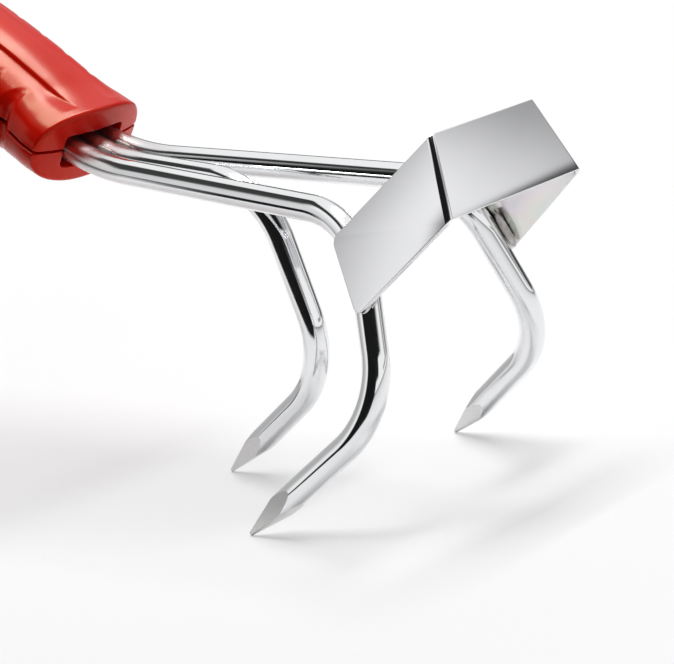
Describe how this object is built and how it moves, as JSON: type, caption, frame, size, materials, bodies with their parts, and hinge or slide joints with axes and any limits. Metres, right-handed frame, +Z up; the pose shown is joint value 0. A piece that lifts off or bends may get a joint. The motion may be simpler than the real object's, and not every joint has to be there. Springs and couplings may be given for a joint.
{
  "type": "garden hand cultivator",
  "caption": "Short-handled garden hand cultivator: bent round-bar tines with ground points, a folded hoe blade across them, and a ribbed hollow plastic handle.",
  "frame": {"origin": "under the middle of the tool's bounding box, on the plane that the three points stand on", "axes": "+X forward, from the handle to the hoe blade; +Y left; +Z up; the tool is symmetric about the plane y = 0"},
  "size_m": [0.256, 0.0916, 0.1653],
  "materials": {
    "chromed_bar": "bright chrome plate",
    "chromed_sheet": "bright chrome plate",
    "weld_bead": "plated weld bead",
    "red_plastic": "glossy",
    "zinc_steel": "zinc plated"
  },
  "bodies": {
    "root": {"tine_left": "chromed_bar", "tine_middle": "chromed_bar", "tine_right": "chromed_bar", "hoe_blade": "chromed_sheet", "blade_weld_left": "weld_bead", "blade_weld_right": "weld_bead", "tack_weld_left": "weld_bead", "tack_weld_right": "weld_bead", "tail_weld_front": "weld_bead", "tail_weld_rear": "weld_bead", "tie_plate": "zinc_steel", "upper_shell": "red_plastic", "lower_shell": "red_plastic", "screw_front_left": "zinc_steel", "screw_front_right": "zinc_steel", "screw_rear": "zinc_steel"}
  },
  "joints": []
}
